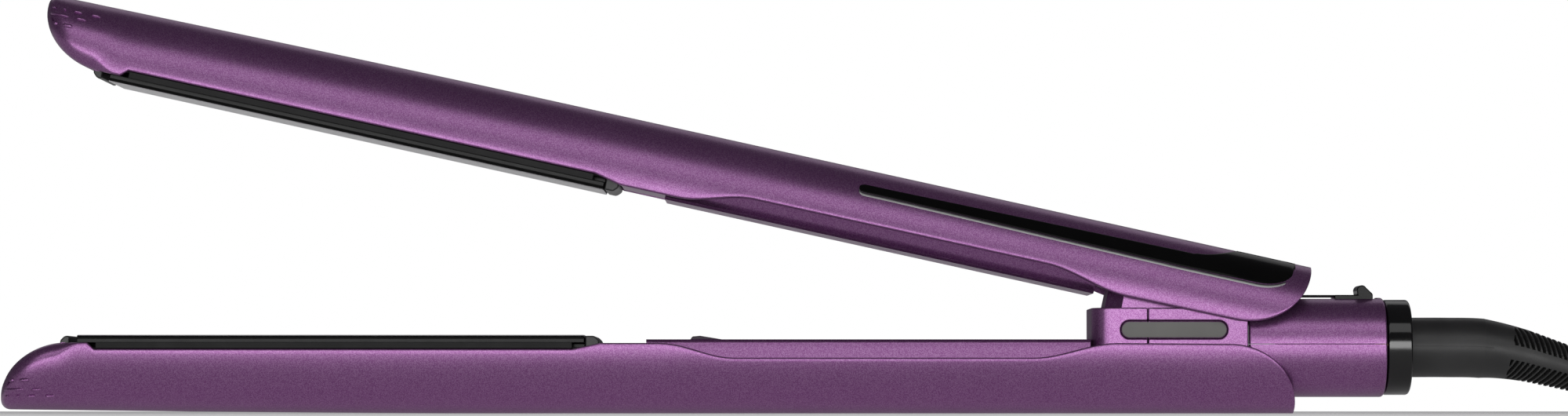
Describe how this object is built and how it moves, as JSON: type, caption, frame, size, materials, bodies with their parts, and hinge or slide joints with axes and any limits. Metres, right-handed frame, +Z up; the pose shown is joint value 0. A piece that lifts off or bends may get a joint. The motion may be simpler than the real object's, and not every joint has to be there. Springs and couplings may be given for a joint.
{
  "type": "hair straightener",
  "caption": "Slim hinged hair straightener with two rounded sprung arms, floating heated plates, a lock slider and a swivel cord with plug.",
  "frame": {"origin": "middle of the body's footprint, on the surface that the lower arm lies on", "axes": "+X from the nose to the cord, +Y across the arms, +Z up from the lower arm to the upper arm"},
  "size_m": [0.5125, 0.054, 0.0915],
  "materials": {
    "shell": "metallic purple lacquer with fine flakes",
    "inner_shell": "purple lacquered plastic",
    "knuckle": "dark purple plastic",
    "stop": "firm black rubber",
    "carrier": "matte dark grey heat-resistant plastic",
    "plate_cap": "matte grey plastic",
    "plate": "dark ceramic-coated aluminium",
    "heater": "white ceramic in film",
    "steel": "steel",
    "lead": "red silicone insulation",
    "panel": "gloss black",
    "rim": "bright silver line",
    "key": "gloss black",
    "power_key": "satin silver",
    "lens": "clear red",
    "board": "green laminate",
    "component": "black",
    "bush": "turned",
    "inlay": "matte grey",
    "barrel": "metallic purple lacquer with fine flakes",
    "slider": "gloss black",
    "collar": "gloss black",
    "neck": "black acetal",
    "guard": "moulded dark grey rubber",
    "cord": "smooth black cord",
    "tie": "woven hook and loop tie",
    "plug": "moulded black plug",
    "pins": "nickel-plated brass"
  },
  "bodies": {
    "base": {"lower_outer_shell": "shell", "lower_inner_cover": "inner_shell", "closing_stop": "stop", "lower_plate_carrier": "carrier", "lower_front_cap": "plate_cap", "lower_rear_cap": "plate_cap", "lower_leads": "lead", "lower_screws": "steel", "hinge_pin": "steel", "hinge_bracket": "steel", "hinge_spring": "steel", "housing_front": "barrel", "housing_rear": "barrel", "housing_inlays": "inlay", "barrel_upper": "barrel", "barrel_lower": "barrel", "end_collar": "collar", "swivel_bush": "bush", "cord_hank": "cord", "cord_tie": "tie", "cord_tail": "cord", "plug_body": "plug", "plug_pins": "pins", "lower_plate_springs": "steel"},
    "lower_plate": {"lower_heater_plate": "plate", "lower_ptc_heater": "heater", "lower_heater_clip": "steel"},
    "upper_arm": {"upper_outer_shell": "shell", "upper_inner_cover": "inner_shell", "upper_plate_carrier": "carrier", "upper_front_cap": "plate_cap", "upper_rear_cap": "plate_cap", "upper_leads": "lead", "upper_screws": "steel", "control_panel": "panel", "panel_rim": "rim", "indicator_lens": "lens", "circuit_board": "board", "tact_switches": "steel", "board_parts": "component", "hinge_knuckle": "knuckle", "lock_catch": "steel", "hinge_bush": "bush", "upper_plate_springs": "steel"},
    "upper_plate": {"upper_heater_plate": "plate", "upper_ptc_heater": "heater", "upper_heater_clip": "steel", "thermistor": "heater", "thermal_fuse": "steel"},
    "power_key": {"power_button": "power_key"},
    "heat_up_key": {"heat_up_button": "key"},
    "heat_down_key": {"heat_down_button": "key"},
    "lock": {"lock_slider": "slider"},
    "swivel": {"swivel_neck": "neck", "strain_relief": "guard", "cord_lead": "cord"}
  },
  "joints": [
    {"name": "arm_hinge", "type": "hinge", "parent": "base", "child": "upper_arm", "pos_m": [0.1199, 0, 0.0145], "axis": [0, -1, 0], "range_deg": [0, 12.4], "stiffness_Nm_per_rad": 0.9, "springref_deg": -20.05, "deforming": ["hinge_spring"]},
    {"name": "lower_plate_float", "type": "slide", "parent": "base", "child": "lower_plate", "axis": [0, 0, -1], "range_m": [0, 0.0008], "stiffness_N_per_m": 2500, "springref_m": -0.0008, "deforming": ["lower_plate_springs"]},
    {"name": "upper_plate_float", "type": "slide", "parent": "upper_arm", "child": "upper_plate", "axis": [0.2147, 0, 0.9767], "range_m": [0, 0.0008], "stiffness_N_per_m": 2500, "springref_m": -0.0008, "deforming": ["upper_plate_springs"]},
    {"name": "power_press", "type": "slide", "parent": "upper_arm", "child": "power_key", "axis": [-0.2147, 0, -0.9767], "range_m": [0, 0.0004], "stiffness_N_per_m": 800, "springref_m": -0.0006},
    {"name": "heat_up_press", "type": "slide", "parent": "upper_arm", "child": "heat_up_key", "axis": [-0.2147, 0, -0.9767], "range_m": [0, 0.0004], "stiffness_N_per_m": 800, "springref_m": -0.0006},
    {"name": "heat_down_press", "type": "slide", "parent": "upper_arm", "child": "heat_down_key", "axis": [-0.2147, 0, -0.9767], "range_m": [0, 0.0004], "stiffness_N_per_m": 800, "springref_m": -0.0006},
    {"name": "lock_slide", "type": "slide", "parent": "base", "child": "lock", "axis": [-1, 0, 0], "range_m": [0, 0.006]},
    {"name": "cord_swivel", "type": "hinge", "parent": "base", "child": "swivel", "pos_m": [0.15, 0, 0.0145], "axis": [1, 0, 0], "continuous": true, "deforming": ["cord_lead"]}
  ]
}
